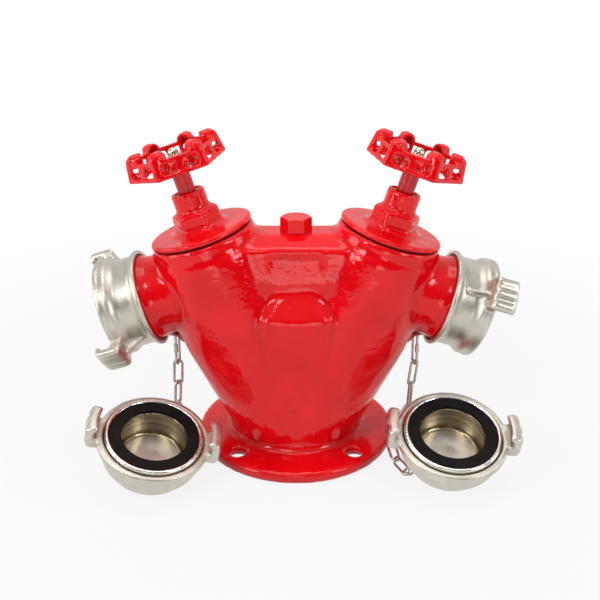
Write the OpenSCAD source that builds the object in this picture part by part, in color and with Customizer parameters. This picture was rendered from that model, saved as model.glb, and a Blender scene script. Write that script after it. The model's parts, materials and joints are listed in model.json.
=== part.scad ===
// Two-way fire department connection: a red cast body on a four-hole DN100 flange,
// two leaning angle valves with handwheels, two claw couplings and two chained caps.

/* [Base flange] */
// Outside diameter of the base flange
flange_d = 220; // [200:1:250]
// Thickness of the base flange
flange_t = 13; // [10:0.5:24]
// Diameter of the circle through the bolt holes
bolt_circle_d = 180; // [176:1:192]
// Diameter of one bolt hole
bolt_hole_d = 19; // [17:0.5:20]
// Bore of the inlet through the flange
inlet_d = 100; // [80:1:104]

/* [Valves] */
// Lean of each valve's stem away from upright, in degrees
valve_lean = 17; // [12:0.5:20]
// Distance from the middle of the part to the middle of a bonnet joint
bonnet_x = 98.7; // [92:0.1:110]
// Height of the middle of a bonnet joint above the bottom of the flange
bonnet_z = 239.5; // [235:0.1:250]
// Diameter of the bonnet plate
bonnet_d = 110; // [104:1:114]
// Diameter of the valve stem
stem_d = 18.6; // [16:0.1:20]
// Travel of the valve disc from shut to fully open
valve_lift = 24; // [16:1:26]

/* [Handwheel] */
// Distance across the corners of a handwheel
wheel_d = 106; // [98:1:112]
// Height of the rim between its humps
rim_h = 19.5; // [17:0.5:21]
// Height of the humps at the rim's corners
hump_h = 27.5; // [25:0.5:29]
// Inward lean of the rim, in degrees
rim_lean = 9; // [5:1:14]
// Thickness of the rim wall
rim_t = 4.4; // [4:0.1:5]

/* [Outlets] */
// Bore of each outlet
outlet_d = 66; // [60:1:68]
// Distance from the stem axis to the rear edge of the coupling
outlet_reach = 79; // [76:1:90]
// Distance from the bonnet joint down to the outlet axis, along the stem
outlet_drop = 52; // [50:1:56]
// Outside diameter of the outlet pipe
pipe_d = 86; // [82:1:90]
// Distance across the backs of the two claws of a coupling
claw_span = 140; // [136:1:146]

/* [Caps] */
// Tilt of a cap that lies on its eye and its edge, in degrees
cap_tilt = 19.5; // [15:0.5:22]
// Height of the sealing face above the back of a cap
cap_h = 44; // [40:1:48]

/* [Chain] */
// Diameter of the chain wire
wire_d = 3; // [2.6:0.1:3.2]
// Outside width of a link
link_w = 12; // [11.8:0.1:13]
// Length of a link, from the middle of the wire at one end to the middle of the wire at the other
link_l = 29; // [28:0.5:30]
// Length of the connecting link at the lug, measured the same way
connecting_link_l = 39; // [38:0.5:40]

/* [Hidden] */
$fn = 64;
SIDES = ["left", "right"];
LINKS = 10;
VALVE_PARTS = ["bonnet", "bonnet_gasket", "gland_nut", "packing", "stem", "handwheel", "wheel_washer",
               "wheel_nut", "valve_disc", "disc_seal", "disc_nut", "seat_ring"];
OUTLET_PARTS = ["outlet_coupling", "coupling_gasket"];
CAP_PARTS = ["cap", "cap_gasket", "cap_snap_ring", "cap_claw_ring"];
LINK_PARTS = [for (n = [1 : LINKS]) str("chain_link_", n)];
SIDE_PARTS = concat(VALVE_PARTS, OUTLET_PARTS, CAP_PARTS, LINK_PARTS);

RED = "firebrick";
ALLOY = "darkgray";
STEEL = "silver";
BRASS = "goldenrod";
RUBBER = "dimgray";

fit = 0.06;                  // running clearance of a stem, on the radius
gap = 0.3;                   // clearance between faces that only pass each other

// Body casting
bolt_r = bolt_circle_d / 2;
inlet_r = inlet_d / 2;
neck_r = 68;                 // foot of the legs on the flange
foot_fillet = 8;
spot_face_r = 16;
spot_face_depth = 1;
collar_r = bonnet_d / 2;
collar_h = 19;
shoulder_r = 58;
belly_r = 57;                // bulge of the valve chamber below its outlet
belly_x = 68;
belly_z = 132;
web_top_z = 243;
web_half_w = 52;
bridge_half_t = 16;          // flat bridge between the collars
recess_half_w = 30;          // shallow recess below the web's front lip
recess_top_z = 231.5;
plug_bore_r = 10;
plug_bore_depth = 18;
vent_r = 4;

// Valve, measured along the stem from the bonnet joint, upward positive
gasket_t = 0.8;
plate_top = gasket_t + 6;
hex_bottom = 10;
hex_top = 27;
hex_af = 45;
neck_top = 48;
neck_d = 35.5;
gland_r = 13.5;
gland_floor = 24;
skirt_r = 44;
skirt_bottom = -14;
chamber_r = 47;
seat_top = -94;
seat_bottom = -102;
seat_r = 38;
seat_bore_r = 30;
disc_r = 37.5;
disc_top = -83;
hub_top = -68;
button_r = 9;
button_top = -72;
button_bottom = -77;
hub_neck_r = 6;
stud_r = 8;
hub_bottom = 70;             // underside of the handwheel hub
wheel_turn = -15;
square_w = 11;
wheel_stud_r = 4;
wheel_hub_h = 10;
rim_bottom = 3.3;            // above the underside of the hub
washer_t = 1.6;

// Outlet, measured along its axis from the rear edge of the coupling, outward positive
outlet_r = outlet_d / 2;
pipe_r = pipe_d / 2;
spigot_r = 41;
spigot_l = 18;
ring_front = 43;
ring_r = 54.5;
sleeve_r = 48.5;
claw_r = claw_span / 2;
gasket_r = 45.8;
mouth_r = outlet_r + 1;         // bore of the coupling in front of the spigot

// Caps and chain
cup_r = 44;
cup_edge_r = 3;
snap_z = 9.6;                // the snap ring that keeps the claw ring on the cup
lip_r = 50.5;
eye_end_r = 6.5;
eye_hole_r = 3.4;
eye_t = 4.4;
eye_rest_z = 6.9;             // height of the eye's hole where the cap stands
// A tilted cap stands on the edge of its cup and on the end of its eye.
cap_z = (cup_r - cup_edge_r) * sin(cap_tilt) + cup_edge_r * (1 - cos(cap_tilt));
eye_drop = (cap_z - eye_rest_z) / cos(cap_tilt);
link_play = 0.4;
link_bend_r = (link_w - wire_d) / 2;
lug_x = 132;
lug_hole_z = 127.5;
lug_hole_r = 4;
lug_play = 0.6;               // lets the bend of the connecting link pass the lug's edges
lug_t = 4.2;
lug_chamfer = 0.8;

outlet_x = bonnet_x - outlet_drop * sin(valve_lean) + outlet_reach * cos(valve_lean);
outlet_z = bonnet_z - outlet_drop * cos(valve_lean) - outlet_reach * sin(valve_lean);
function claw_turn(side) = side == "left" ? -54 : 54;
function cap_place(side) = side == "left" ? [-154.6, -89.9, cap_z] : [160.7, -80.4, cap_z];
function cap_lean_to(side) = side == "left" ? -49 : -85;
function cap_turn(side) = side == "left" ? 3 : -3;
function eye_turn(side) = side == "left" ? -3 : -57;
// How each link is turned about its own length, and how it is folded, against the link before it
function turns(side) = side == "left" ? [-16, 102, 61, 91, 89, 92, 87, 85, 85, 88]
                                      : [24, 98, 67, 101, 72, 73, 109, 65, 108, 65];
function folds(side) = side == "left" ? [-1, 3, 1, 7, -85, 41, 6, 91, 23, -71]
                                      : [-3, 10, 12, -31, -40, -31, 24, 120, -13, 117];
function link_length(n) = n == 1 ? connecting_link_l : link_l;

// Placing

module on_side(side) {
    mirror([side == "left" ? 1 : 0, 0, 0]) children();
}

module at_valve(side) {
    on_side(side) translate([bonnet_x, 0, bonnet_z]) rotate([0, valve_lean, 0]) children();
}

module at_outlet(side) {
    on_side(side) translate([outlet_x, 0, outlet_z]) rotate([0, 90 + valve_lean, 0]) children();
}

module at_cap(side) {
    lean_to = cap_lean_to(side);
    translate(cap_place(side)) rotate([0, 0, lean_to]) rotate([0, cap_tilt, 0])
        rotate([0, 0, cap_turn(side) - lean_to]) children();
}

// Frame of one link: its origin is the middle of the wire that it hangs on, and it runs along -Z.
module at_link(side, n) {
    if (n == 1) {
        translate([side == "left" ? -lug_x : lug_x, 0, lug_hole_z - lug_hole_r - wire_d / 2 + lug_play])
            fold_link(side, n) children();
    } else {
        at_link(side, n - 1) translate([0, 0, wire_d + link_play - link_length(n - 1)])
            fold_link(side, n) children();
    }
}

module fold_link(side, n) {
    rotate([0, 0, turns(side)[n - 1]]) rotate([folds(side)[n - 1], 0, 0]) children();
}

// Shapes used by several parts

module ring(outer_r, inner_r, bottom, top) {
    translate([0, 0, bottom]) difference() {
        cylinder(r = outer_r, h = top - bottom);
        translate([0, 0, -1]) cylinder(r = inner_r, h = top - bottom + 2);
    }
}

module rod(r, bottom, top) {
    translate([0, 0, bottom]) cylinder(r = r, h = top - bottom);
}

module hexagon(across_flats, bottom, top) {
    translate([0, 0, bottom]) cylinder(d = across_flats / cos(30), h = top - bottom, $fn = 6);
}

// A hexagon whose top corners are turned off at 30 degrees.
module turned_hexagon(across_flats, bottom, top) {
    height = top - bottom;
    crown_r = across_flats / 2 * 0.97;
    intersection() {
        hexagon(across_flats, bottom, top);
        translate([0, 0, bottom]) cylinder(r1 = crown_r + height / tan(30), r2 = crown_r, h = height);
    }
}

// A slab with its outline in the XZ plane, centred on Y.
module slab(points, thickness) {
    rotate([90, 0, 0]) linear_extrude(height = thickness, center = true) polygon(points);
}

// A cylinder lying along Y.
module cross_rod(r, length, x, z) {
    translate([x, 0, z]) rotate([90, 0, 0]) cylinder(r = r, h = length, center = true);
}

// Body casting and its plug

module base_flange() {
    rod(flange_d / 2, 0, flange_t);
    rotate_extrude($fn = 96) difference() {
        translate([neck_r - foot_fillet, flange_t - 1]) square([2 * foot_fillet, foot_fillet + 1]);
        translate([neck_r + foot_fillet, flange_t + foot_fillet]) circle(r = foot_fillet);
    }
}

module bolt_holes() {
    for (turn = [45 : 90 : 315]) rotate([0, 0, turn]) translate([bolt_r, 0, 0]) {
        rod(bolt_hole_d / 2, -1, flange_t + 1);
        rod(spot_face_r, flange_t - spot_face_depth, flange_t + 2 * foot_fillet);
    }
}

// One leg, from the flange up to the shoulder below the collar.
module leg(side) {
    hull() {
        at_valve(side) translate([0, 0, -collar_h - 5]) cylinder(r = shoulder_r, h = 5, $fn = 32);
        on_side(side) translate([belly_x, 0, belly_z]) sphere(r = belly_r, $fn = 32);
        translate([0, 0, flange_t - 1]) cylinder(r = neck_r, h = 2, $fn = 32);
    }
}

module collar(side) {
    at_valve(side) rotate_extrude() polygon([
        [0, -collar_h - 4], [shoulder_r - 1, -collar_h - 4], [shoulder_r - 1, -collar_h - 0.5],
        [collar_r + 0.8, -collar_h + 1], [collar_r, -collar_h + 4], [collar_r, 0], [0, 0]]);
}

module outlet_pipe(side) {
    at_outlet(side) rotate_extrude() polygon([
        [0, -outlet_reach + 8], [pipe_r, -outlet_reach + 8], [pipe_r, -15], [pipe_r + 1, -8],
        [pipe_r + 2.6, -4], [pipe_r + 4.5, -2.5], [pipe_r + 4.5, 0], [spigot_r, 0],
        [spigot_r, spigot_l], [0, spigot_l]]);
}

// An outline in the YZ plane, drawn along X and centred on it.
module along_x(points, length) {
    rotate([90, 0, 90]) linear_extrude(height = length, center = true) polygon(points);
}

// Web that fills the V between the legs. Its top falls away from a flat bridge to a lip, and
// a shallow recess lies below the lip on the front and the back.
module web() {
    half = [[bridge_half_t, web_top_z], [39, 235.5], [42, 233], [42, 231], [46, 200], [47, 150], [47, 30]];
    outline = concat(half, [for (i = [len(half) - 1 : -1 : 0]) [-half[i][0], half[i][1]]]);
    difference() {
        intersection() {
            slab([[-web_half_w, web_top_z], [web_half_w, web_top_z], [web_half_w, 229], [belly_x, belly_z + 40],
                  [neck_r / 2, 30], [-neck_r / 2, 30], [-belly_x, belly_z + 40], [-web_half_w, 229]], 100);
            along_x(outline, 3 * belly_x);
        }
        for (turn = [0, 180]) rotate([0, 0, turn])
            along_x([[50, recess_top_z], [39, recess_top_z], [46.3, 197], [50, 197]], 2 * recess_half_w);
    }
}

// Raised plate on the front of the web: a hipped top, then a face that narrows downward.
module front_boss() {
    corners = [[14, -42, 192], [39, -44, 164], [30.5, -59.5, 163], [0, -60.5, 161], [0, -61, 66],
               [23, -60, 66], [28, -50, 66]];
    hull() {
        for (corner = corners, sx = [-1, 1])
            translate([sx * corner[0], corner[1], corner[2]]) sphere(r = 3, $fn = 24);
    }
}

module chain_lug(side) {
    on_side(side) translate([lug_x, 0, lug_hole_z])
        slab([[-16, 14], [10, 12], [9.6, 0], [5, -8], [-1, -13.5], [-3, -14.5], [-9, -13], [-12, -10],
              [-16, -2]], lug_t);
}

// Hole through the lug, with both its rims broken.
module lug_hole(side) {
    on_side(side) translate([lug_x, 0, lug_hole_z]) rotate([90, 0, 0]) {
        rod(lug_hole_r, -lug_t, lug_t);
        for (face = [0, 1]) mirror([0, 0, face]) translate([0, 0, lug_t / 2 - lug_chamfer])
            cylinder(r1 = lug_hole_r, r2 = lug_hole_r + 2 * lug_chamfer, h = 2 * lug_chamfer);
    }
}

module valve_hollow(side) {
    at_valve(side) {
        rod(skirt_r, skirt_bottom - 3, 1);
        rod(chamber_r, seat_top - 2, skirt_bottom - 3);
        rod(seat_r + 0.1, seat_bottom, seat_top);
        rod(seat_bore_r + 2, seat_bottom - 24, seat_top);
    }
    at_outlet(side) rod(outlet_r, -outlet_reach, spigot_l + 1);
}

// Waterway from the inlet up one leg to the seat.
module leg_hollow(side) {
    seat_x = bonnet_x + (seat_bottom - 4) * sin(valve_lean);
    seat_z = bonnet_z + (seat_bottom - 4) * cos(valve_lean);
    intersection() {
        on_side(side) translate([0, 0, flange_t]) rotate([0, atan2(seat_x, seat_z - flange_t), 0])
            cylinder(r1 = inlet_r - 1, r2 = seat_bore_r + 3, h = norm([seat_x, seat_z - flange_t]));
        rod(bonnet_x + collar_r, flange_t + 5, bonnet_z);
    }
}

module body_casting() {
    color(RED) difference() {
        union() {
            base_flange();
            web();
            front_boss();
            for (side = SIDES) {
                leg(side);
                collar(side);
                outlet_pipe(side);
                chain_lug(side);
            }
        }
        rod(inlet_r, -1, flange_t + 7);
        bolt_holes();
        for (side = SIDES) {
            valve_hollow(side);
            leg_hollow(side);
            lug_hole(side);
        }
        rod(plug_bore_r, web_top_z - plug_bore_depth, web_top_z + 1);
        rod(vent_r, 90, web_top_z);
    }
}

module top_plug() {
    color(RED) {
        turned_hexagon(29, web_top_z + 0.1, web_top_z + 15);
        rod(plug_bore_r - 0.1, web_top_z - plug_bore_depth + 2, web_top_z + 0.2);
    }
}

// Valve parts

module bonnet() {
    neck_r = neck_d / 2;
    color(RED) difference() {
        union() {
            rotate_extrude() polygon([
                [0, gasket_t], [collar_r, gasket_t], [collar_r, plate_top - 1], [collar_r - 1, plate_top],
                [31, plate_top], [27, hex_bottom], [0, hex_bottom]]);
            turned_hexagon(hex_af, hex_bottom - 1, hex_top);
            rod(neck_r, hex_top - 3, neck_top);
            rod(skirt_r - 0.1, skirt_bottom, gasket_t + 1);
        }
        rod(stem_d / 2 + fit, skirt_bottom - 1, neck_top + 1);
        rod(gland_r, gland_floor, neck_top + 1);
        rod(34, skirt_bottom - 1, skirt_bottom + 8);
    }
}

module bonnet_gasket() {
    color(RUBBER) ring(collar_r - 1.6, skirt_r + 0.1, 0, gasket_t);
}

module packing() {
    color("black") ring(gland_r - 0.1, stem_d / 2 + fit, gland_floor, gland_floor + 15);
}

module gland_nut() {
    bottom = gland_floor + 15.1;
    top = neck_top - 2.5;
    color(BRASS) difference() {
        ring(gland_r - 0.1, stem_d / 2 + fit, bottom, top);
        for (turn = [0, 90]) rotate([0, 0, turn]) translate([-gland_r, -1.5, top - 2]) cube([2 * gland_r, 3, 3]);
    }
}

module stem() {
    color(STEEL) {
        rod(stem_d / 2, hub_top + gap, hub_bottom);
        rod(hub_neck_r, button_top - 1, hub_top + gap);
        rod(button_r, button_bottom, button_top);
        rotate([0, 0, wheel_turn])
            translate([-square_w / 2, -square_w / 2, hub_bottom - 1]) cube([square_w, square_w, wheel_hub_h]);
        rod(wheel_stud_r, hub_bottom, hub_bottom + wheel_hub_h + washer_t + 8);
    }
}

// A hexagonal cup that narrows upward at the lean of the rim. Its corners point along X.
module rim_cup(across_flats, bottom, top) {
    foot = across_flats / 2;
    crown = foot - (top - bottom) * tan(rim_lean);
    translate([0, 0, bottom]) cylinder(r1 = foot / cos(30), r2 = crown / cos(30), h = top - bottom, $fn = 6);
}

// A rounded loaf lying along X.
module hump(half_w, from_x, to_x, top) {
    translate([from_x, 0, top - half_w]) rotate([0, 90, 0]) cylinder(r = half_w, h = to_x - from_x);
    translate([from_x, -half_w, rim_bottom + 2]) cube([to_x - from_x, 2 * half_w, top - half_w - rim_bottom - 2]);
}

module handwheel_form() {
    outer = wheel_d * cos(30);
    inner = outer - 2 * rim_t;
    hump_w = 7.7;
    roof_t = 3.4;
    hump_top = rim_bottom + hump_h;
    shoulder_z = rim_bottom + rim_h;     // above it the humps are rounded off outward
    bead_t = 1.3;
    window_h = 10;
    difference() {
        union() {
            difference() {
                rim_cup(outer, rim_bottom, rim_bottom + rim_h);
                rim_cup(inner, rim_bottom - 0.01, rim_bottom + rim_h + 0.01);
            }
            intersection() {
                for (turn = [0 : 60 : 300]) rotate([0, 0, turn]) hump(hump_w, 31, wheel_d / 2, hump_top);
                rim_cup(outer, rim_bottom, hump_top + 1);
                union() {
                    rod(wheel_d / 2, 0, shoulder_z);
                    translate([0, 0, shoulder_z])
                        cylinder(r1 = wheel_d / 2, r2 = wheel_d / 2 - 12, h = hump_top + 1 - shoulder_z);
                }
            }
        }
        intersection() {
            for (turn = [0 : 60 : 300]) rotate([0, 0, turn])
                translate([0, 0, -roof_t]) hump(hump_w - roof_t, 20, wheel_d / 2, hump_top);
            rim_cup(inner, rim_bottom, hump_top + 1);
        }
        for (turn = [30 : 60 : 330]) rotate([0, 0, turn])
            translate([outer / 2, 0, rim_bottom]) rotate([0, -rim_lean, 0]) {
                translate([-bead_t, -19.5, 4]) cube([2 * bead_t, 39, rim_h]);
                for (sy = [-1, 1]) translate([-2 * rim_t, sy * 11.7 - 7.2, 5]) cube([3 * rim_t, 14.4, window_h]);
            }
    }
    for (turn = [0 : 60 : 300]) rotate([0, 0, turn])
        translate([8, -4.5, 7]) cube([inner / 2 / cos(30) - 10, 9, 5]);
    rod(13, 0, wheel_hub_h + 4);
}

module handwheel() {
    color(RED) translate([0, 0, hub_bottom]) rotate([0, 0, wheel_turn]) difference() {
        handwheel_form();
        translate([-square_w / 2, -square_w / 2, -1]) cube([square_w, square_w, wheel_hub_h + 2]);
        rod(9.6, wheel_hub_h, wheel_hub_h + 10);
    }
}

module wheel_washer() {
    color(STEEL) translate([0, 0, hub_bottom + wheel_hub_h])
        ring(9.2, wheel_stud_r + 0.2, 0, washer_t);
}

module wheel_nut() {
    nut_r = 5.6;
    hex_h = 5.5;
    color(STEEL) translate([0, 0, hub_bottom + wheel_hub_h + washer_t]) difference() {
        union() {
            turned_hexagon(13, 0, hex_h);
            rod(nut_r, hex_h - 1, hex_h + 2);
            translate([0, 0, hex_h + 2]) sphere(r = nut_r);
        }
        rod(wheel_stud_r + 0.1, -1, 8.5);
    }
}

module valve_disc() {
    slot_w = 0.6;
    color(BRASS) difference() {
        union() {
            rod(disc_r, seat_top + 3, disc_top);
            ring(disc_r, disc_r - 2, seat_top + 1, seat_top + 4);
            rod(16, disc_top - 1, hub_top);
            rod(stud_r, seat_top - 9, seat_top + 4);
        }
        hull() for (y = [0, 30]) translate([0, y, 0]) rod(button_r + slot_w, button_bottom - 0.3, button_top + 0.3);
        hull() for (y = [0, 30]) translate([0, y, 0]) rod(hub_neck_r + slot_w, button_top - 1, hub_top + 1);
    }
}

module disc_seal() {
    color(RUBBER) ring(disc_r - 2.1, stud_r + 0.1, seat_top, seat_top + 3);
}

module disc_nut() {
    color(BRASS) difference() {
        turned_hexagon(24, seat_top - 8.5, seat_top);
        rod(stud_r + 0.1, seat_top - 10, seat_top + 1);
    }
}

module seat_ring() {
    color(BRASS) ring(seat_r, seat_bore_r, seat_bottom, seat_top - 0.1);
}

// Couplings. A coupling's axis is +Z and its front faces +Z.

// One claw: it rises past the front of its ring, and its lip turns inward over a pocket.
module claw(front) {
    root_r = 46;
    pocket_r = 61;
    lip_inner_r = 57;
    half_angle = 16;
    lobe_r = 6.8;
    lobe_at = claw_r - lobe_r;
    translate([0, 0, front]) intersection() {
        rotate([0, 0, -half_angle]) rotate_extrude(angle = 2 * half_angle) polygon([
            [root_r, -12], [root_r + 6, -12], [claw_r - 5, -11], [claw_r, -7.5], [claw_r, 11], [claw_r - 2.5, 15],
            [claw_r - 7, 16.5], [lip_inner_r, 16.5], [lip_inner_r, 11.5], [pocket_r, 11], [pocket_r, 0], [root_r, 0]]);
        translate([0, 0, -30]) {
            cylinder(r = claw_r - 6, h = 60);
            for (turn = [-11, 0, 11]) rotate([0, 0, turn]) translate([lobe_at, 0, 0])
                cylinder(r = lobe_r, h = 60, $fn = 32);
        }
    }
}

module claw_pair(front) {
    for (turn = [0, 180]) rotate([0, 0, turn]) claw(front);
}

module outlet_coupling(side) {
    color(ALLOY) rotate([0, 0, claw_turn(side)]) difference() {
        union() {
            rotate_extrude() polygon([
                [spigot_r - 4, -3.5], [52, -3.5], [53, -2], [52.6, 1.5], [50.5, 3.5], [sleeve_r, 6],
                [sleeve_r, 23], [sleeve_r + 1.2, 25.5], [ring_r - 3, 28.5], [ring_r - 1, 30.5],
                [ring_r - 1, 35.5], [ring_r - 2.6, 36.2], [ring_r - 2.6, 37.8], [ring_r, 38.5],
                [ring_r, ring_front - 1], [ring_r - 1, ring_front], [spigot_r - 4, ring_front]]);
            claw_pair(ring_front);
            for (turn = [0, 180]) rotate([0, 0, turn])
                slab([[sleeve_r - 2, 9], [sleeve_r + 0.5, 9], [62, 31], [sleeve_r - 2, 32]], 4);
        }
        rod(sleeve_r - 0.2, -5, 2);
        rod(spigot_r + 0.1, 0, spigot_l + 1);
        rod(mouth_r, spigot_l, ring_front + 1);
        rod(gasket_r + 0.2, ring_front - 5, ring_front + 1);
    }
}

module coupling_gasket() {
    color(RUBBER) ring(gasket_r, mouth_r + 1, ring_front - 5, ring_front + 0.5);
}

// Caps. A cap's back is at z = 0 and its mouth faces +Z.

module cap(side) {
    wall_r = cup_r + 2;
    lip_bottom = 32;
    floor_z = 9.4;
    color(ALLOY) difference() {
        union() {
            rotate_extrude() {
                translate([cup_r - cup_edge_r, cup_edge_r]) circle(r = cup_edge_r);
                polygon([[0, 0], [cup_r - cup_edge_r, 0], [cup_r, cup_edge_r], [wall_r, 9], [wall_r, lip_bottom - 0.3],
                         [lip_r, lip_bottom], [lip_r, cap_h - 0.4], [lip_r - 1, cap_h + 0.5], [0, cap_h + 0.5]]);
            }
            rotate([0, 0, eye_turn(side)]) {
                cross_rod(eye_end_r, eye_t, 0, -eye_drop);
                slab([[-eye_end_r, -eye_drop], [eye_end_r, -eye_drop], [eye_end_r + 2, 1], [-eye_end_r - 2, 1]], eye_t);
            }
        }
        translate([0, 0, floor_z - 2.4]) cylinder(r1 = 12, r2 = mouth_r, h = 2.5);
        rod(mouth_r, floor_z, cap_h + 1);
        rod(gasket_r + 0.2, cap_h - 4, cap_h + 1);
        ring(wall_r + 1, cup_r + 0.5, snap_z - 0.2, snap_z + 1.8);
        rotate([0, 0, eye_turn(side)]) cross_rod(eye_hole_r, 3 * eye_t, 0, -eye_drop);
    }
}

module cap_gasket() {
    color("black") ring(gasket_r, mouth_r, cap_h - 4, cap_h);
}

module cap_snap_ring() {
    color(STEEL) difference() {
        ring(cup_r + 4.2, cup_r + 0.6, snap_z, snap_z + 1.6);
        translate([cup_r - 4, -3, snap_z - 1]) cube([20, 6, 4]);
    }
}

module cap_claw_ring() {
    top = 41.5;
    skirt_z = snap_z + 1.9;
    color(ALLOY) difference() {
        union() {
            rotate_extrude() polygon([
                [cup_r + 1, skirt_z], [49.8, skirt_z], [50.8, skirt_z + 1.5], [54, 26], [57, 31.5], [58, 33.5],
                [58, top - 1], [57, top], [cup_r + 1, top]]);
            claw_pair(top);
        }
        rod(lip_r + 0.6, 31.6, top + 1);
        rod(cup_r + 2 + 0.4, 5, top);
    }
}

// One chain link, hanging along -Z in its own YZ plane. The connecting link has a screwed sleeve.
module chain_link(n) {
    upper = wire_d + link_play - link_bend_r;
    lower = wire_d + link_play - link_length(n) + link_bend_r;
    color(STEEL) {
        for (sy = [-1, 1]) translate([0, sy * link_bend_r, 0]) rod(wire_d / 2, lower, upper);
        for (end = [0, 1]) translate([0, 0, end == 0 ? upper : lower])
            rotate([0, end * 180, 0]) rotate([90, 0, 90]) rotate_extrude(angle = 180, $fn = 32)
                translate([link_bend_r, 0]) circle(d = wire_d, $fn = 20);
        if (n == 1) translate([0, -link_bend_r, 0]) rod(wire_d / 2 + 0.8, -20, -11);
    }
}

module valve_part(part) {
    if (part == "bonnet") bonnet();
    if (part == "bonnet_gasket") bonnet_gasket();
    if (part == "gland_nut") gland_nut();
    if (part == "packing") packing();
    if (part == "stem") stem();
    if (part == "handwheel") handwheel();
    if (part == "wheel_washer") wheel_washer();
    if (part == "wheel_nut") wheel_nut();
    if (part == "valve_disc") valve_disc();
    if (part == "disc_seal") disc_seal();
    if (part == "disc_nut") disc_nut();
    if (part == "seat_ring") seat_ring();
}

body_casting();
top_plug();
for (side = SIDES) {
    for (part = VALVE_PARTS) {
        at_valve(side) valve_part(part);
    }
    at_outlet(side) outlet_coupling(side);
    at_outlet(side) coupling_gasket();
    at_cap(side) cap(side);
    at_cap(side) cap_gasket();
    at_cap(side) cap_snap_ring();
    at_cap(side) cap_claw_ring();
    for (n = [1 : LINKS]) {
        at_link(side, n) chain_link(n);
    }
}
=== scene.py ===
# %% [markdown]
# # A fire department connection with two valved outlets
# A cast iron body stands on a round flange and splits into two legs. Each leg ends in an angle
# valve that leans outward, with a handwheel on top and a claw coupling on the side. The two caps
# of the couplings stand on the floor in front of the flange, each on its own chain.
# The solids come from the CAD model and fix every size and every joint. This lesson dresses them:
# castings get the rounded corners of a real sand casting, and each surface gets its own finish.
# The imported model is loaded first.

# %% Load the solids
import json
import math

import bpy
import numpy as np
from mathutils import Matrix, Vector

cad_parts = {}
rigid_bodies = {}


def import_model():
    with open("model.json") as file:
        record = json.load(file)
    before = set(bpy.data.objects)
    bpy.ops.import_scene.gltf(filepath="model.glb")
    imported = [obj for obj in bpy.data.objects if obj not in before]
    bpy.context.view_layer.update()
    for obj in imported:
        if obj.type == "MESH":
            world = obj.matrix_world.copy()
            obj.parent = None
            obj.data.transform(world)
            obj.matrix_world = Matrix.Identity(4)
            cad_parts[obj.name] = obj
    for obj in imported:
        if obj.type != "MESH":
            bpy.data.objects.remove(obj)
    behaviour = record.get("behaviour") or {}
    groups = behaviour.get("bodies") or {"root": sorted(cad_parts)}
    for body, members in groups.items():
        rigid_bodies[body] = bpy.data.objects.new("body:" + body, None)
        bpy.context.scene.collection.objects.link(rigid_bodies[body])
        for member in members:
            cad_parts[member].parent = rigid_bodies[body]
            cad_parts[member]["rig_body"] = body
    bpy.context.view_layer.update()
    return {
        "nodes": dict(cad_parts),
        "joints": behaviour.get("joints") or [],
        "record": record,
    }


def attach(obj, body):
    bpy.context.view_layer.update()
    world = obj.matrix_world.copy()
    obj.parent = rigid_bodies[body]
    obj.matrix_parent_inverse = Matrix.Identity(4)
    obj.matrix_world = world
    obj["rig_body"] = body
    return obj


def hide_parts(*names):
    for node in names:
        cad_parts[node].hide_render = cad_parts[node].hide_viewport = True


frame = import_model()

scene = bpy.context.scene
nodes = frame["nodes"]
joints = {joint["name"]: joint for joint in frame["joints"]}
mounts = {mount["name"]: mount for mount in frame["record"]["mounts"]}
SIDES = ("left", "right")
MM = 0.001

# %% [markdown]
# ## Axes of the round parts
# Nearly everything here is turned about some line: the valve about its stem, the coupling about
# its outlet, the cap about its own middle. A small frame with its Z along that line makes it easy
# to ask how far out and how far along a point lies. The lines come from the joints and mounts,
# because those are already exact; typing the numbers again would invite mistakes.

# %% Find the axes
def axis_frame(place, axis):
    """A matrix whose origin is place and whose Z runs along axis."""
    turn = Vector(axis).normalized().to_track_quat("Z", "Y").to_matrix().to_4x4()
    return Matrix.Translation(Vector(place)) @ turn


valve_frame, outlet_frame, cap_frame = {}, {}, {}
for side in SIDES:
    wheel = joints[f"{side}_handwheel_turn"]
    valve_frame[side] = axis_frame(wheel["pos_m"], wheel["axis"])
    mouth = mounts[f"{side}_claw_coupling"]
    outlet_frame[side] = axis_frame(mouth["pos_m"], mouth["axis"])
    ring = joints[f"{side}_claw_ring_turn"]
    cap_frame[side] = axis_frame(ring["pos_m"], ring["axis"])
    print(side, "valve", tuple(valve_frame[side].translation),
          "cap", tuple(cap_frame[side].translation))

# %% [markdown]
# ## Camera
# The camera looks down on the object from the front, through a normal lens, so that the tops of
# the valves and the hollows of the caps both show.

# %% Camera
CAMERA_PLACE = (0, -0.8354, 0.5072)
LOOK_AT = Vector((0, 0, 0.1632))
LENS_MM, SHIFT_X = 49.8, 0.0066

camera = bpy.data.objects.new("camera", bpy.data.cameras.new("camera"))
scene.collection.objects.link(camera)
camera.location = CAMERA_PLACE
camera.rotation_euler = (LOOK_AT - camera.location).to_track_quat("-Z", "Y").to_euler()
camera.data.lens = LENS_MM
camera.data.shift_x = SHIFT_X
scene.camera = camera
scene.view_settings.view_transform = "Standard"
print("camera is", round((camera.location - LOOK_AT).length, 3), "m from the middle of the object")

# %% [markdown]
# ## Floor
# The floor is one large pale sheet. It could simply be lit until it is white, but then the object
# would be over-lit too. Instead the sheet gives light of its own only to rays that look at it,
# straight or in a mirror of metal. Near the object it gives a little less, so that the object's
# shadow shows there. This and every later finish is a small tree of nodes, so a few helpers that
# add and join nodes come first.

# %% Node helpers
def add(tree, kind, **values):
    """A node of that kind. Values are its properties, or its input sockets by name."""
    node = tree.nodes.new(kind)
    for key, value in values.items():
        socket = node.inputs.get(key.replace("_", " ").title())
        if hasattr(node, key):
            setattr(node, key, value)
        elif socket is not None:
            socket.default_value = value
        else:
            raise KeyError(f"{kind} has no {key}")
    return node


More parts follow.
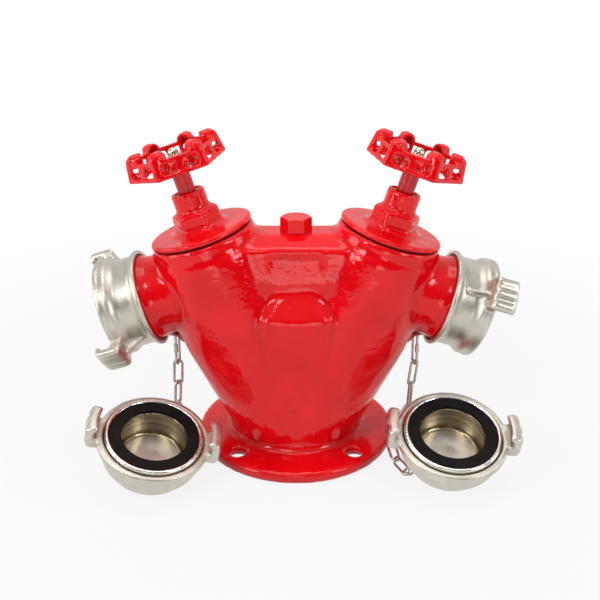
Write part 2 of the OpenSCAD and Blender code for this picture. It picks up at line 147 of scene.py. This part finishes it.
def new_material(name):
    material = bpy.data.materials.new(name)
    material.use_nodes = True
    return material, material.node_tree, material.node_tree.nodes["Principled BSDF"]


def seen_rays(tree, *kinds):
    """1 for a ray of one of these kinds, and 0 for every other."""
    rays = add(tree, "ShaderNodeLightPath")
    total = rays.outputs[kinds[0]]
    for kind in kinds[1:]:
        either = add(tree, "ShaderNodeMath", operation="MAXIMUM")
        tree.links.new(total, either.inputs[0])
        tree.links.new(rays.outputs[kind], either.inputs[1])
        total = either.outputs[0]
    return total


def eased(tree, source, source_span, result_span):
    """The source's first span laid over the second one, with soft ends."""
    node = add(tree, "ShaderNodeMapRange", interpolation_type="SMOOTHSTEP")
    names = ("From Min", "From Max", "To Min", "To Max")
    for name, value in zip(names, (*source_span, *result_span)):
        node.inputs[name].default_value = value
    tree.links.new(source, node.inputs["Value"])
    return node.outputs[0]


# %% Floor
FLOOR_HALF = 30.0
OWN_LIGHT = (0.85, 1.0)
SHADOW_REACH = (0.35, 0.9)
PAPER_GREY, PAPER_ROUGHNESS = 0.62, 0.9

floor_mesh = bpy.data.meshes.new("floor")
corners = [(x * FLOOR_HALF, y * FLOOR_HALF, 0) for x, y in ((-1, -1), (1, -1), (1, 1), (-1, 1))]
floor_mesh.from_pydata(corners, [], [(0, 1, 2, 3)])
floor = bpy.data.objects.new("floor", floor_mesh)
scene.collection.objects.link(floor)

paper, tree, skin = new_material("studio_paper")
skin.inputs["Base Color"].default_value = (PAPER_GREY, PAPER_GREY, PAPER_GREY, 1)
skin.inputs["Roughness"].default_value = PAPER_ROUGHNESS
skin.inputs["Specular IOR Level"].default_value = 0.0
glow = add(tree, "ShaderNodeEmission", strength=1.0)
share = add(tree, "ShaderNodeMath", operation="MULTIPLY")
spot = add(tree, "ShaderNodeVectorMath", operation="LENGTH")
tree.links.new(add(tree, "ShaderNodeTexCoord").outputs["Object"], spot.inputs[0])
tree.links.new(eased(tree, spot.outputs["Value"], SHADOW_REACH, OWN_LIGHT), share.inputs[1])
blend = add(tree, "ShaderNodeMixShader")
looked_at = seen_rays(tree, "Is Camera Ray", "Is Glossy Ray", "Is Transmission Ray")
tree.links.new(looked_at, share.inputs[0])
tree.links.new(share.outputs[0], blend.inputs["Fac"])
tree.links.new(skin.outputs[0], blend.inputs[1])
tree.links.new(glow.outputs[0], blend.inputs[2])
tree.links.new(blend.outputs[0], tree.nodes["Material Output"].inputs["Surface"])
floor_mesh.materials.append(paper)
print("floor:", 2 * FLOOR_HALF, "m square")

# %% [markdown]
# ## Room
# The room is white beyond the object, where the metal mirrors it as a pale backdrop, and dim
# behind the camera, which keeps the front of the web a deep red. It also brightens overhead.

# %% Room
BEHIND_CAMERA, BEYOND_OBJECT, OVERHEAD = 0.04, 1.0, 0.6

room = bpy.data.worlds.new("room")
scene.world = room
room.use_nodes = True
tree = room.node_tree
tree.nodes.clear()
compass = add(tree, "ShaderNodeTexCoord")
split = add(tree, "ShaderNodeSeparateXYZ")
brighter = add(tree, "ShaderNodeMath", operation="MAXIMUM")
seen = add(tree, "ShaderNodeMath", operation="MAXIMUM")
air = add(tree, "ShaderNodeBackground")
out = add(tree, "ShaderNodeOutputWorld")
tree.links.new(compass.outputs["Generated"], split.inputs[0])
forward = eased(tree, split.outputs["Y"], (-0.6, 0.6), (BEHIND_CAMERA, BEYOND_OBJECT))
upward = eased(tree, split.outputs["Z"], (0.25, 0.9), (0.0, OVERHEAD))
tree.links.new(forward, brighter.inputs[0])
tree.links.new(upward, brighter.inputs[1])
tree.links.new(brighter.outputs[0], seen.inputs[0])
tree.links.new(seen_rays(tree, "Is Camera Ray", "Is Transmission Ray"), seen.inputs[1])
tree.links.new(seen.outputs[0], air.inputs["Strength"])
tree.links.new(air.outputs[0], out.inputs[0])
print("room: brightness", BEHIND_CAMERA, "behind the camera,", BEYOND_OBJECT, "beyond the object")

# %% [markdown]
# ## Lamps
# Gloss enamel shows its light as reflections, so the lamps are large soft boxes. One high on each
# side of the camera draws the long pale bands down the legs. One further round on each side
# lights the outlets, and one overhead whitens the tops of the bonnets. Two weak ones lift the
# boss and the caps.

# %% Soft boxes
LIT_POINT = Vector((0, 0, 0.15))


def soft_box(name, place, width, height, watts):
    """A rectangular lamp at that place, turned towards the middle of the object."""
    lamp = bpy.data.lights.new(name, "AREA")
    lamp.shape, lamp.size, lamp.size_y, lamp.energy = "RECTANGLE", width, height, watts
    lamp_object = bpy.data.objects.new(name, lamp)
    scene.collection.objects.link(lamp_object)
    lamp_object.location = place
    lamp_object.rotation_euler = (LIT_POINT - Vector(place)).to_track_quat("-Z", "Y").to_euler()
    print(name, width, "x", height, "m,", watts, "W")


soft_box("box_left", (-1.15, -0.95, 0.85), 0.38, 0.6, 6.8)
soft_box("box_right", (1.15, -0.95, 0.85), 0.38, 0.6, 6.3)
soft_box("box_side_left", (-1.4, -0.25, 0.55), 0.6, 0.6, 4.5)
soft_box("box_side_right", (1.4, -0.25, 0.55), 0.5, 0.5, 2.5)
soft_box("box_over", (0, 0.15, 1.5), 1.2, 0.7, 6.5)
soft_box("box_high", (-0.3, -0.85, 1.25), 0.4, 0.25, 2.8)
soft_box("box_front", (0, -1.7, 0.25), 0.5, 0.4, 1.5)

# %% [markdown]
# ## Red enamel
# The body, bonnets, handwheels and plug wear a thick gloss coat over rough iron. It could be one
# flat red, but a real coat is never even: the sand of the mould leaves a fine pebble under it.
# Three noises make it uneven here: a pebble, a slow swell, and a faint patchiness in the colour.
# The hollows get painted shade: their red is darkened where shade falls in the creases.

# %% Pattern helpers
def noise(tree, source, scale, detail=2.0, roughness=0.5):
    node = add(tree, "ShaderNodeTexNoise", scale=scale, detail=detail, roughness=roughness)
    tree.links.new(source, node.inputs["Vector"])
    return node.outputs["Fac"]


def ramp(tree, source, *stops):
    """Stops are (position, colour or grey)."""
    node = add(tree, "ShaderNodeValToRGB")
    while len(node.color_ramp.elements) < len(stops):
        node.color_ramp.elements.new(0.5)
    for element, (place, colour) in zip(node.color_ramp.elements, stops):
        element.position = place
        element.color = (*colour, 1) if isinstance(colour, tuple) else (colour, colour, colour, 1)
    tree.links.new(source, node.inputs["Fac"])
    return node.outputs["Color"]


def mix(tree, factor, a, b, how="MIX"):
    """The factor and both colours may each be a value or another node's output."""
    node = add(tree, "ShaderNodeMix", data_type="RGBA", blend_type=how)
    for socket, value in ((node.inputs[0], factor), (node.inputs[6], a), (node.inputs[7], b)):
        if isinstance(value, bpy.types.NodeSocket):
            tree.links.new(value, socket)
        else:
            socket.default_value = value if socket == node.inputs[0] else (*value, 1)
    return node.outputs[2]


def bump(tree, height, depth_mm, below=None):
    """Bump of that depth, laid over the bump below it."""
    node = add(tree, "ShaderNodeBump", strength=1.0, distance=depth_mm * MM)
    tree.links.new(height, node.inputs["Height"])
    if below is not None:
        tree.links.new(below, node.inputs["Normal"])
    return node.outputs["Normal"]


# %% Enamel
THIN_RED, DEEP_RED = (0.84, 0.003, 0.008), (0.70, 0.001, 0.004)
SWELL_SCALE, PATCH_SCALE = 55.0, 23.0
SWELL_DEPTH_MM = 0.9
HOLLOW_SHADE = 0.55
UNDERCOAT_ROUGHNESS, COAT_WEIGHT, COAT_ROUGHNESS = 0.45, 0.78, 0.07


def red_enamel(name, pebble_mm, pebble_depth_mm):
    material, tree, skin = new_material(name)
    place = add(tree, "ShaderNodeTexCoord").outputs["Object"]
    pebble = noise(tree, place, 1 / (pebble_mm * MM), 3.0, 0.55)
    swell = noise(tree, place, SWELL_SCALE, 2.0)
    patch = noise(tree, place, PATCH_SCALE, 3.0)
    hollow = add(tree, "ShaderNodeNewGeometry").outputs["Pointiness"]
    tone = ramp(tree, patch, (0.3, DEEP_RED), (0.7, THIN_RED))
    # painted shade: the red darkens in the inner creases and hollows, where shade falls
    depth = ramp(tree, hollow, (0.44, HOLLOW_SHADE), (0.50, 1.0), (0.56, 1.0))
    tree.links.new(mix(tree, 1.0, tone, depth, "MULTIPLY"), skin.inputs["Base Color"])
    skin.inputs["Roughness"].default_value = UNDERCOAT_ROUGHNESS
    skin.inputs["Specular IOR Level"].default_value = 0.0
    skin.inputs["Coat Weight"].default_value = COAT_WEIGHT
    skin.inputs["Coat Roughness"].default_value = COAT_ROUGHNESS
    normal = bump(tree, swell, SWELL_DEPTH_MM)
    normal = bump(tree, pebble, pebble_depth_mm, normal)
    tree.links.new(normal, skin.inputs["Normal"])
    tree.links.new(normal, skin.inputs["Coat Normal"])
    return material


enamel_body = red_enamel("enamel_over_sand_casting", pebble_mm=4.2, pebble_depth_mm=0.26)
enamel_fine = red_enamel("enamel_over_small_casting", pebble_mm=7.0, pebble_depth_mm=0.16)
print("finishes:", enamel_body.name, enamel_fine.name)

# %% [markdown]
# ## Cast alloy, turned alloy and the small metals
# The couplings and caps are cast in a light alloy and only turned where they seal. Cast faces are
# satin with a fine tooth and a warm grey bloom. Turned faces carry the thin rings of the lathe,
# so their pattern must follow the axis of the part: each such piece stores how far out and how
# far along every point lies, and the finish reads that.

# %% Cast and turned metal
def metal(name, dark, light, rough, tooth_mm=1.2, tooth_depth=0.05, patch_scale=60.0, painted_shade=0.0):
    """A satin metal with a fine tooth. Its last argument is painted shade: how much its hollows
    darken.
    """
    material, tree, skin = new_material(name)
    place = add(tree, "ShaderNodeTexCoord").outputs["Object"]
    patch = noise(tree, place, patch_scale, 4.0, 0.6)
    tooth = noise(tree, place, 1 / (tooth_mm * MM), 3.0, 0.6)
    tone = ramp(tree, patch, (0.3, dark), (0.7, light))
    # painted shade: the colour darkens in the hollows, where shade falls
    if painted_shade:
        hollow = add(tree, "ShaderNodeNewGeometry").outputs["Pointiness"]
        shade = ramp(tree, hollow, (0.42, 1 - painted_shade), (0.5, 1.0))
        tone = mix(tree, 1.0, tone, shade, "MULTIPLY")
    tree.links.new(tone, skin.inputs["Base Color"])
    skin.inputs["Metallic"].default_value = 1.0
    spread = ramp(tree, patch, (0.25, rough * 0.85), (0.75, rough * 1.15))
    tree.links.new(spread, skin.inputs["Roughness"])
    tree.links.new(bump(tree, tooth, tooth_depth), skin.inputs["Normal"])
    return material


BAND_PITCHES = 9


def turned(name, dark, light, rough, pitch_mm=0.7, groove_depth=0.02):
    """A metal with the rings of the lathe, and with bands that are BAND_PITCHES rings wide."""
    material, tree, skin = new_material(name)
    lathe = add(tree, "ShaderNodeAttribute", attribute_name="lathe")
    split = add(tree, "ShaderNodeSeparateXYZ")
    reach = add(tree, "ShaderNodeMath", operation="ADD")
    tree.links.new(lathe.outputs["Vector"], split.inputs[0])
    tree.links.new(split.outputs["X"], reach.inputs[0])
    tree.links.new(split.outputs["Z"], reach.inputs[1])
    per_metre = 1 / (pitch_mm * MM)
    rings = add(tree, "ShaderNodeTexNoise", noise_dimensions="1D", scale=per_metre, detail=2.0)
    bands = add(tree, "ShaderNodeTexNoise", noise_dimensions="1D",
                scale=1 / (BAND_PITCHES * pitch_mm * MM), detail=3.0)
    for node in (rings, bands):
        tree.links.new(reach.outputs[0], node.inputs["W"])
    tone = ramp(tree, bands.outputs["Fac"], (0.3, dark), (0.7, light))
    tree.links.new(tone, skin.inputs["Base Color"])
    skin.inputs["Metallic"].default_value = 1.0
    spread = ramp(tree, bands.outputs["Fac"], (0.25, rough * 0.8), (0.75, rough * 1.2))
    tree.links.new(spread, skin.inputs["Roughness"])
    tree.links.new(bump(tree, rings.outputs["Fac"], groove_depth), skin.inputs["Normal"])
    return material


# %% The metals of this object
# the cast alloy gets painted shade in its hollows
cast_alloy = metal("cast_alloy", (0.54, 0.51, 0.44), (0.70, 0.66, 0.58), 0.40, 1.4, 0.07, painted_shade=0.6)
turned_alloy = turned("turned_alloy", (0.58, 0.54, 0.46), (0.76, 0.72, 0.64), 0.27)
cup_alloy = turned("turned_cup", (0.33, 0.26, 0.16), (0.58, 0.50, 0.36), 0.24, 0.9, 0.03)
bright_lip = turned("turned_lip", (0.78, 0.76, 0.70), (0.88, 0.86, 0.80), 0.20)
zinc_wire = metal("zinc_wire", (0.46, 0.44, 0.41), (0.66, 0.64, 0.60), 0.30, 0.9, 0.03, 220.0)
zinc_nut = metal("yellow_zinc", (0.62, 0.55, 0.40), (0.80, 0.75, 0.62), 0.24, 1.0, 0.02, 160.0)
bright_steel = metal("stem_steel", (0.52, 0.51, 0.49), (0.66, 0.65, 0.62), 0.25, 0.6, 0.015, 90.0)
brass = metal("turned_brass", (0.55, 0.36, 0.12), (0.72, 0.50, 0.20), 0.28, 0.8, 0.02, 90.0)
metals = (cast_alloy, turned_alloy, cup_alloy, bright_lip, zinc_wire, zinc_nut, bright_steel, brass)
print("metals:", [material.name for material in metals])

# %% [markdown]
# ## Rubber and packing
# The seals are black rubber and the packing is a graphite cord. Both are dull, with a little dust.

# %% Rubber and packing
def dull(name, dark, light, rough, tooth_mm, tooth_depth):
    material, tree, skin = new_material(name)
    place = add(tree, "ShaderNodeTexCoord").outputs["Object"]
    dust = noise(tree, place, 45.0, 5.0, 0.65)
    tooth = noise(tree, place, 1 / (tooth_mm * MM), 2.0)
    tree.links.new(ramp(tree, dust, (0.35, dark), (0.75, light)), skin.inputs["Base Color"])
    skin.inputs["Roughness"].default_value = rough
    skin.inputs["Specular IOR Level"].default_value = 0.12
    tree.links.new(bump(tree, tooth, tooth_depth), skin.inputs["Normal"])
    return material


rubber = dull("black_rubber", (0.004, 0.003, 0.003), (0.012, 0.010, 0.008), 0.62, 1.1, 0.03)
packing_cord = dull("graphite_packing", (0.02, 0.02, 0.022), (0.06, 0.06, 0.065), 0.5, 1.6, 0.1)
print("soft finishes:", rubber.name, packing_cord.name)

# %% [markdown]
# ## Making a casting out of a solid
# The solids have knife-sharp corners, and a sand casting has none: metal can't fill a sharp
# outer corner, and the pattern maker runs a fillet along every inner one. Bevels could be added
# edge by edge, but where legs, collars and web run into each other there are no clean edges.
# A distance field does it in one go. Grown by a few millimetres and shrunk back, the form keeps
# its outside but fills every inner crease with a fillet. Shrunk a little and grown back, it
# rounds the outer corners. The node group does this in three steps: it grows, it shrinks past
# the first outline, and it grows back to it. The pieces ride the bodies of the nodes they replace.

# %% Fillet group
BAND_MARGIN = 3


def fillet_group(grain, fillet, ease):
    """Fillets inner corners by one length and eases outer ones by another, all in metres."""
    tree = bpy.data.node_groups.new(f"fillet_{fillet / MM:.1f}", "GeometryNodeTree")
    tree.interface.new_socket("Geometry", in_out="INPUT", socket_type="NodeSocketGeometry")
    tree.interface.new_socket("Geometry", in_out="OUTPUT", socket_type="NodeSocketGeometry")
    step = add(tree, "NodeGroupInput").outputs[0]
    for growth in (fillet, -fillet - ease, ease):
        field = add(tree, "GeometryNodeMeshToSDFGrid")
        field.inputs["Voxel Size"].default_value = grain
        field.inputs["Band Width"].default_value = int(abs(growth) / grain) + BAND_MARGIN
        surface = add(tree, "GeometryNodeGridToMesh")
        surface.inputs["Threshold"].default_value = growth
        tree.links.new(step, field.inputs["Mesh"])
        tree.links.new(field.outputs[0], surface.inputs["Grid"])
        step = surface.outputs[0]
    tree.links.new(step, add(tree, "NodeGroupOutput").inputs[0])
    return tree


def settle(piece):
    """Turns what the modifiers show into the piece's own mesh."""
    shown = piece.evaluated_get(bpy.context.evaluated_depsgraph_get())
    mesh = bpy.data.meshes.new_from_object(shown)
    piece.modifiers.clear()
    old, piece.data = piece.data, mesh
    bpy.data.meshes.remove(old)
    return mesh


# %% Casting a node
def casting(node, name, grain_mm, fillet_mm, ease_mm, finish, smooth=2):
    """A rounded copy of the node's solid, which stands in for it. Smooth is a number of rounds."""
    mesh = nodes[node].data.copy()
    mesh.materials.clear()
    piece = bpy.data.objects.new(name, mesh)
    scene.collection.objects.link(piece)
    form = piece.modifiers.new("fillets", "NODES")
    form.node_group = fillet_group(grain_mm * MM, fillet_mm * MM, ease_mm * MM)
    calm = piece.modifiers.new("calm", "SMOOTH")
    calm.factor, calm.iterations = 0.5, smooth
    mesh = settle(piece)
    mesh.materials.clear()
    mesh.materials.append(finish)
    mesh.shade_smooth()
    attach(piece, nodes[node]["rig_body"])
    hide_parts(node)
    print(name, "faces:", len(mesh.polygons))
    return piece


# %% [markdown]
# ## The body
# The body is the largest casting, so it takes the widest fillets. Its holes are not cast but
# drilled afterwards, which leaves them crisp: the same order is kept here, with the holes of the
# chain lugs cut after the fillets have run over them.

# %% Body casting
body = casting("body_casting", "body_casting_skin", 2.4, 5.0, 1.2, enamel_body, 3)


# %% Drilling
def rod(name, place, axis, radius, length, sides=40):
    """A plain rod to cut with."""
    angles = np.linspace(0, 2 * math.pi, sides, False)
    ring = [(radius * math.cos(angle), radius * math.sin(angle)) for angle in angles]
    verts = [(x, y, z) for z in (-length / 2, length / 2) for x, y in ring]
    walls = [(i, (i + 1) % sides, sides + (i + 1) % sides, sides + i) for i in range(sides)]
    ends = [tuple(range(sides))[::-1], tuple(range(sides, 2 * sides))]
    mesh = bpy.data.meshes.new(name)
    mesh.from_pydata(verts, [], walls + ends)
    mesh.transform(axis_frame(place, axis))
    piece = bpy.data.objects.new(name, mesh)
    scene.collection.objects.link(piece)
    return piece


def drill(piece, drills):
    """Cuts each rod out of the piece and then removes the rods."""
    for bit in drills:
        cut = piece.modifiers.new(bit.name, "BOOLEAN")
        cut.operation, cut.solver, cut.object = "DIFFERENCE", "EXACT", bit
    settle(piece)
    for bit in drills:
        bpy.data.objects.remove(bit)


LUG_HOLE_R, BIT_L = 4.0, 20.0
hooks = {side: joints[f"{side}_link_1_swing"] for side in SIDES}
drill(body, [rod(f"bit_{side}", hook["pos_m"], hook["axis"], LUG_HOLE_R * MM, BIT_L * MM)
             for side, hook in hooks.items()])
print("body after drilling:", len(body.data.polygons), "faces")

# %% [markdown]
# ## Bonnets and handwheels
# These are smaller castings with finer fillets. The handwheel has the thinnest walls of all, with
# windows in the rim, so its grain must be well below the wall's four millimetres. The top plug is
# a turned hexagon and keeps the solid's own shape.

# %% Bonnets and handwheels
for side in SIDES:
    casting(f"{side}_bonnet", f"{side}_bonnet_skin", 1.5, 1.8, 0.8, enamel_body)
    casting(f"{side}_handwheel", f"{side}_handwheel_skin", 1.1, 1.6, 0.9, enamel_fine)
nodes["top_plug"].data.materials.clear()
nodes["top_plug"].data.materials.append(enamel_fine)

# %% [markdown]
# ## Couplings and caps
# A coupling is one casting whose sleeve is turned; a cap is a cup with a turned lip and a loose
# ring that carries its claws. One rule sorts the faces of such a piece: where they lie, measured
# out from and along the axis of the part.

# %% Lathe coordinates
def along_and_out(points, frame_matrix):
    """Distance from the axis, angle about it and height along it, for each point."""
    inverse = np.array(frame_matrix.inverted())
    local = points @ inverse[:3, :3].T + inverse[:3, 3]
    radius = np.hypot(local[:, 0], local[:, 1])
    return np.column_stack((radius, np.arctan2(local[:, 1], local[:, 0]), local[:, 2]))


def store_lathe(piece, frame_matrix):
    """Stores distance, angle and height at each point, where the turned finishes read them."""
    mesh = piece.data
    points = np.empty(len(mesh.vertices) * 3, np.float32)
    mesh.vertices.foreach_get("co", points)
    lathe = along_and_out(points.reshape(-1, 3), frame_matrix).astype(np.float32)
    mesh.attributes.new("lathe", "FLOAT_VECTOR", "POINT").data.foreach_set("vector", lathe.ravel())


def face_places(piece, frame_matrix):
    """Distance and height in millimetres for the middle of each face."""
    mesh = piece.data
    centres = np.empty(len(mesh.polygons) * 3, np.float32)
    mesh.polygons.foreach_get("center", centres)
    return along_and_out(centres.reshape(-1, 3), frame_matrix)[:, (0, 2)].T / MM


def finish_faces(piece, material, chosen):
    """Gives the chosen faces a second finish."""
    mesh = piece.data
    index = np.zeros(len(mesh.polygons), np.int32)
    mesh.polygons.foreach_get("material_index", index)
    mesh.materials.append(material)
    index[chosen] = len(mesh.materials) - 1
    mesh.polygons.foreach_set("material_index", index)
    mesh.update()
    print(piece.name, material.name, int(chosen.sum()), "of", len(chosen), "faces")


# %% Couplings
SLEEVE_R = 47.0

for side in SIDES:
    coupling = casting(f"{side}_outlet_coupling", f"{side}_coupling_skin", 1.3, 1.6, 0.7,
                       cast_alloy)
    store_lathe(coupling, outlet_frame[side])
    radius, _ = face_places(coupling, outlet_frame[side])
    finish_faces(coupling, turned_alloy, radius < SLEEVE_R)

# %% [markdown]
# The cup's bore and floor are turned and have gone brown, and its lip is freshly turned. The
# fillets move each face a little, so every limit gives way by a part of a millimetre or more.

# %% Caps
CUP_BORE_R, CUP_FLOOR_Z, RUBBER_R, CUP_LIP_Z = 34.0, 10.0, 45.8, 44.0

for side in SIDES:
    cup = casting(f"{side}_cap", f"{side}_cap_skin", 1.1, 1.0, 0.5, cast_alloy)
    store_lathe(cup, cap_frame[side])
    radius, height = face_places(cup, cap_frame[side])
    finish_faces(cup, cup_alloy, (radius < CUP_BORE_R + 0.5) & (height > CUP_FLOOR_Z - 1))
    finish_faces(cup, bright_lip, (radius > RUBBER_R - 0.6) & (height > CUP_LIP_Z - 2.5))
    ring = casting(f"{side}_cap_claw_ring", f"{side}_claw_ring_skin", 1.3, 1.8, 1.0,
                   cast_alloy)
    store_lathe(ring, cap_frame[side])

# %% [markdown]
# ## Turned and bought parts
# Stems, nuts, washers, seals and chain links already have their exact form, because they come
# from a lathe, a press or a coil of wire. They keep the solid's own mesh and only take a finish.
# The stem was painted together with the shut valve, so it wears red only where it stood between
# the bonnet's neck and the handwheel. Open the valve and the bare steel below comes out.

# %% Painted stem
def painted(name, paint, low_mm, high_mm):
    """Bright steel that wears the enamel's colour between two heights."""
    material = bright_steel.copy()
    material.name = name
    middle, half = (low_mm + high_mm) / 2, (high_mm - low_mm) / 2
    tree = material.node_tree
    skin = tree.nodes["Principled BSDF"]
    lathe = add(tree, "ShaderNodeAttribute", attribute_name="lathe")
    split = add(tree, "ShaderNodeSeparateXYZ")
    tree.links.new(lathe.outputs["Vector"], split.inputs[0])
    band = add(tree, "ShaderNodeMath", operation="COMPARE")
    tree.links.new(split.outputs["Z"], band.inputs[0])
    band.inputs[1].default_value = middle * MM
    band.inputs[2].default_value = half * MM
    steel = skin.inputs["Base Color"].links[0].from_socket
    tree.links.new(mix(tree, band.outputs[0], steel, paint), skin.inputs["Base Color"])
    bare = add(tree, "ShaderNodeMath", operation="SUBTRACT")
    bare.inputs[0].default_value = 1.0
    tree.links.new(band.outputs[0], bare.inputs[1])
    tree.links.new(bare.outputs[0], skin.inputs["Metallic"])
    return material


PAINT_FROM_Z, PAINT_TO_Z = 45.0, 70.0
painted_stem = painted("painted_stem", (0.55, 0.004, 0.008), PAINT_FROM_Z, PAINT_TO_Z)
for side in SIDES:
    store_lathe(nodes[f"{side}_stem"], valve_frame[side])
print("stem painted from", PAINT_FROM_Z, "to", PAINT_TO_Z, "mm above the handwheel's joint point")

# %% Finishes for the rest
def dress(node, material):
    """Puts one finish on a node that keeps its own mesh."""
    mesh = nodes[node].data
    mesh.materials.clear()
    mesh.materials.append(material)


FINISHES = {
    "stem": painted_stem, "gland_nut": brass, "packing": packing_cord, "wheel_washer": zinc_nut,
    "wheel_nut": zinc_nut, "valve_disc": brass, "disc_seal": rubber, "disc_nut": brass,
    "seat_ring": brass, "bonnet_gasket": rubber, "coupling_gasket": rubber, "cap_gasket": rubber,
    "cap_snap_ring": bright_steel,
}
LINKS = 10

for side in SIDES:
    for part, material in FINISHES.items():
        dress(f"{side}_{part}", material)
    for number in range(1, LINKS + 1):
        dress(f"{side}_chain_link_{number}", zinc_wire)
print("dressed", len(SIDES) * (len(FINISHES) + LINKS), "solids as they are")
